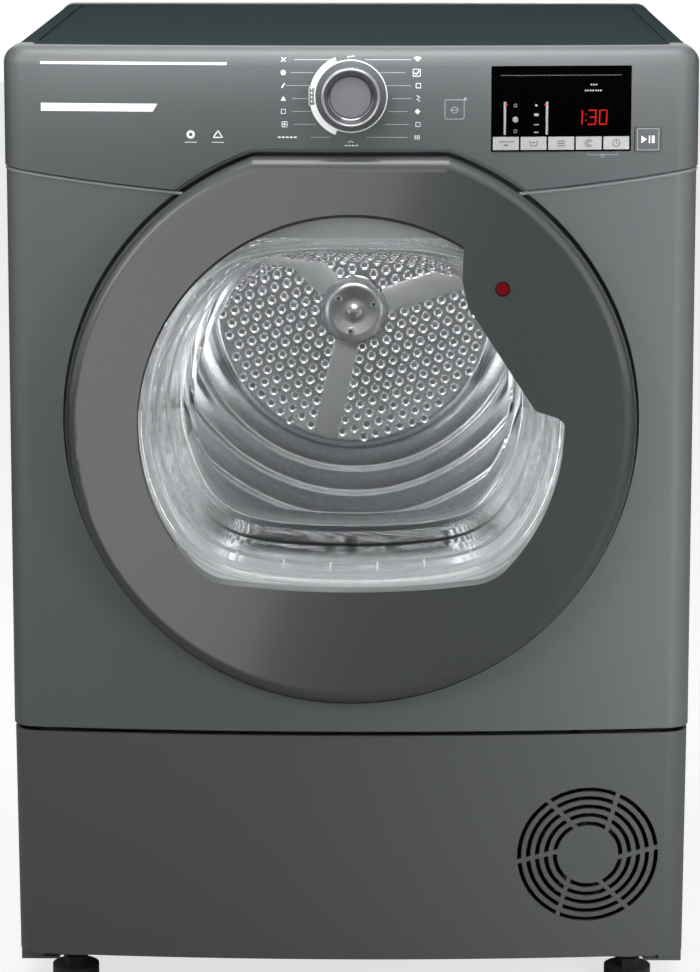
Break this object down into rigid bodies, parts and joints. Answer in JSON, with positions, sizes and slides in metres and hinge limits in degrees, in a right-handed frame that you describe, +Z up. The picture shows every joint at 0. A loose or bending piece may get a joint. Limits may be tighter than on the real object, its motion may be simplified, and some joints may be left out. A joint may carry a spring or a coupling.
{
  "type": "clothes dryer",
  "caption": "Free-standing front-loading condenser clothes dryer with a round see-through door, rotating drum, control fascia and pull-off kickplate.",
  "frame": {"origin": "on the floor under the middle of the machine's bounding box", "axes": "+Z up, +X to the right seen from the front, +Y from the front to the back"},
  "size_m": [0.596, 0.6, 0.85],
  "materials": {
    "cabinet_paint": "satin",
    "kick_paint": "satin",
    "fascia_paint": "satin",
    "worktop": "satin",
    "pale_trim": "satin",
    "ring_paint": "satin",
    "grey_plastic": "matte",
    "black_plastic": "matte",
    "clear_plastic": "polished",
    "red_lens": "polished",
    "dark_window": "polished",
    "key_silver": "satin",
    "knob_grey": "satin",
    "chrome": "polished",
    "drum_steel": "brushed",
    "zinc_steel": "satin",
    "bronze": "satin",
    "aluminium_fins": "satin",
    "rubber": "matte",
    "felt": "matte",
    "board_green": "matte"
  },
  "bodies": {
    "cabinet": {"left_side_panel": "cabinet_paint", "right_side_panel": "cabinet_paint", "front_panel": "cabinet_paint", "back_panel": "cabinet_paint", "control_fascia": "fascia_paint", "top_panel": "worktop", "top_rear_trim": "pale_trim", "fan_housing": "grey_plastic", "filter_duct": "grey_plastic", "lint_filter": "grey_plastic", "latch_body": "grey_plastic", "base_pan": "black_plastic", "rear_duct_cover": "black_plastic", "drain_pump": "black_plastic", "mains_inlet": "black_plastic", "display_window": "dark_window", "front_bulkhead": "zinc_steel", "motor_housing": "zinc_steel", "heater": "zinc_steel", "hinge_bracket": "zinc_steel", "hinge_pin": "zinc_steel", "shaft_bearing": "bronze", "condenser_cartridge": "aluminium_fins", "door_seal": "rubber", "drum_belt": "rubber", "drain_hose": "rubber", "levelling_feet": "rubber", "felt_seals": "felt", "control_board": "board_green"},
    "door": {"door_front_ring": "ring_paint", "door_inner_frame": "grey_plastic", "door_bowl": "clear_plastic", "level_lens": "red_lens", "latch_hook": "zinc_steel", "hinge_leaf": "zinc_steel", "door_screws": "zinc_steel"},
    "drum": {"drum_shell": "drum_steel", "drum_back": "drum_steel", "drum_hub_cap": "drum_steel", "drum_shaft": "zinc_steel", "drum_lifters": "grey_plastic"},
    "rotor": {"motor_rotor": "zinc_steel", "cooling_fan": "grey_plastic", "process_fan": "grey_plastic"},
    "left_roller": {"left_drum_roller": "grey_plastic"},
    "right_roller": {"right_drum_roller": "grey_plastic"},
    "idler": {"idler_arm": "zinc_steel"},
    "idler_wheel": {"idler_pulley": "grey_plastic"},
    "knob": {"selector_knob": "knob_grey", "knob_ring": "chrome"},
    "start": {"start_key": "key_silver"},
    "kick": {"kickplate": "kick_paint"},
    "left_lever": {"left_lock_lever": "grey_plastic"},
    "right_lever": {"right_lock_lever": "grey_plastic"},
    "key_1": {"option_key_1": "key_silver"},
    "key_2": {"option_key_2": "key_silver"},
    "key_3": {"option_key_3": "key_silver"},
    "key_4": {"option_key_4": "key_silver"},
    "key_5": {"option_key_5": "key_silver"}
  },
  "joints": [
    {"name": "door_hinge", "type": "hinge", "parent": "cabinet", "child": "door", "pos_m": [-0.231, -0.288, 0.527], "axis": [0, 0, -1], "range_deg": [0, 110]},
    {"name": "drum_spin", "type": "hinge", "parent": "cabinet", "child": "drum", "pos_m": [0, 0, 0.552], "axis": [0, 1, 0], "continuous": true},
    {"name": "rotor_spin", "type": "hinge", "parent": "cabinet", "child": "rotor", "pos_m": [0.205, 0, 0.137], "axis": [0, 1, 0], "continuous": true},
    {"name": "left_roller_spin", "type": "hinge", "parent": "cabinet", "child": "left_roller", "pos_m": [-0.14315, 0, 0.30406], "axis": [0, 1, 0], "continuous": true},
    {"name": "right_roller_spin", "type": "hinge", "parent": "cabinet", "child": "right_roller", "pos_m": [0.14315, 0, 0.30406], "axis": [0, 1, 0], "continuous": true},
    {"name": "idler_swing", "type": "hinge", "parent": "cabinet", "child": "idler", "pos_m": [0.08962, 0, 0.13767], "axis": [0, -1, 0], "range_deg": [0, 8], "stiffness_Nm_per_rad": 2, "springref_deg": -8.59},
    {"name": "idler_spin", "type": "hinge", "parent": "idler", "child": "idler_wheel", "pos_m": [0.0443, 0, 0.19888], "axis": [0, 1, 0], "continuous": true},
    {"name": "knob_turn", "type": "hinge", "parent": "cabinet", "child": "knob", "pos_m": [0, 0, 0.809], "axis": [0, -1, 0], "continuous": true},
    {"name": "start_press", "type": "slide", "parent": "cabinet", "child": "start", "axis": [0, 1, 0], "range_m": [0, 0.0015], "stiffness_N_per_m": 600},
    {"name": "kickplate_pull", "type": "slide", "parent": "cabinet", "child": "kick", "axis": [0, -1, 0], "range_m": [0, 0.12]},
    {"name": "left_lever_turn", "type": "hinge", "parent": "cabinet", "child": "left_lever", "pos_m": [-0.228, 0, 0.184], "axis": [0, -1, 0], "range_deg": [0, 90]},
    {"name": "right_lever_turn", "type": "hinge", "parent": "cabinet", "child": "right_lever", "pos_m": [-0.096, 0, 0.184], "axis": [0, 1, 0], "range_deg": [0, 90]},
    {"name": "key_1_press", "type": "slide", "parent": "cabinet", "child": "key_1", "axis": [0, 1, 0], "range_m": [0, 0.0015], "stiffness_N_per_m": 600},
    {"name": "key_2_press", "type": "slide", "parent": "cabinet", "child": "key_2", "axis": [0, 1, 0], "range_m": [0, 0.0015], "stiffness_N_per_m": 600},
    {"name": "key_3_press", "type": "slide", "parent": "cabinet", "child": "key_3", "axis": [0, 1, 0], "range_m": [0, 0.0015], "stiffness_N_per_m": 600},
    {"name": "key_4_press", "type": "slide", "parent": "cabinet", "child": "key_4", "axis": [0, 1, 0], "range_m": [0, 0.0015], "stiffness_N_per_m": 600},
    {"name": "key_5_press", "type": "slide", "parent": "cabinet", "child": "key_5", "axis": [0, 1, 0], "range_m": [0, 0.0015], "stiffness_N_per_m": 600}
  ],
  "couplings": [
    {"joint": "rotor_spin", "follows": "drum_spin", "ratio": 29.333},
    {"joint": "left_roller_spin", "follows": "drum_spin", "ratio": -12},
    {"joint": "right_roller_spin", "follows": "drum_spin", "ratio": -12},
    {"joint": "idler_spin", "follows": "drum_spin", "ratio": -16.5}
  ]
}
